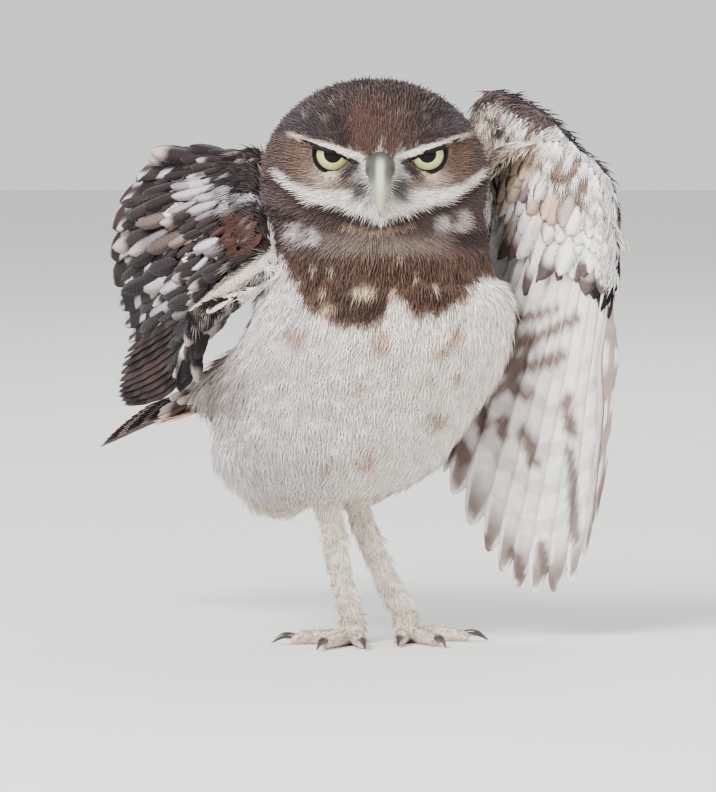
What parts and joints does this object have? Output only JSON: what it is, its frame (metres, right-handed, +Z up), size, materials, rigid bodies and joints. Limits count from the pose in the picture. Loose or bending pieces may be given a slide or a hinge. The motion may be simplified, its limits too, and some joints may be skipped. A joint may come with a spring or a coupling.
{
  "type": "burrowing owl",
  "caption": "Life-size young burrowing owl standing on both feet, glaring straight ahead, with one wing hung open like a cape and the other half lifted.",
  "frame": {"origin": "on the floor, under the middle of the whole owl's box", "axes": "+Z up; the owl faces -Y and its own left is towards +X"},
  "size_m": [0.1732, 0.1564, 0.1818],
  "materials": {
    "brown_feathers": "soft brown plumage",
    "pale_feathers": "soft pale plumage",
    "bill": "horn, satin",
    "eyes": "wet gloss",
    "toes": "scaly skin with bristles",
    "claws": "dark horn"
  },
  "bodies": {
    "root": {"head": "brown_feathers", "neck": "brown_feathers", "left_wing_arm": "brown_feathers", "left_wing_hand": "brown_feathers", "right_wing_arm": "brown_feathers", "right_wing_hand": "brown_feathers", "tail": "brown_feathers", "torso": "pale_feathers", "left_thigh": "pale_feathers", "right_thigh": "pale_feathers", "left_shank": "pale_feathers", "right_shank": "pale_feathers", "left_toe_inner": "toes", "left_toe_middle": "toes", "left_toe_outer": "toes", "left_toe_back": "toes", "right_toe_inner": "toes", "right_toe_middle": "toes", "right_toe_outer": "toes", "right_toe_back": "toes", "left_claw_inner": "claws", "left_claw_middle": "claws", "left_claw_outer": "claws", "left_claw_back": "claws", "right_claw_inner": "claws", "right_claw_middle": "claws", "right_claw_outer": "claws", "right_claw_back": "claws", "bill_upper": "bill", "bill_lower": "bill", "left_eye": "eyes", "right_eye": "eyes"}
  },
  "joints": []
}
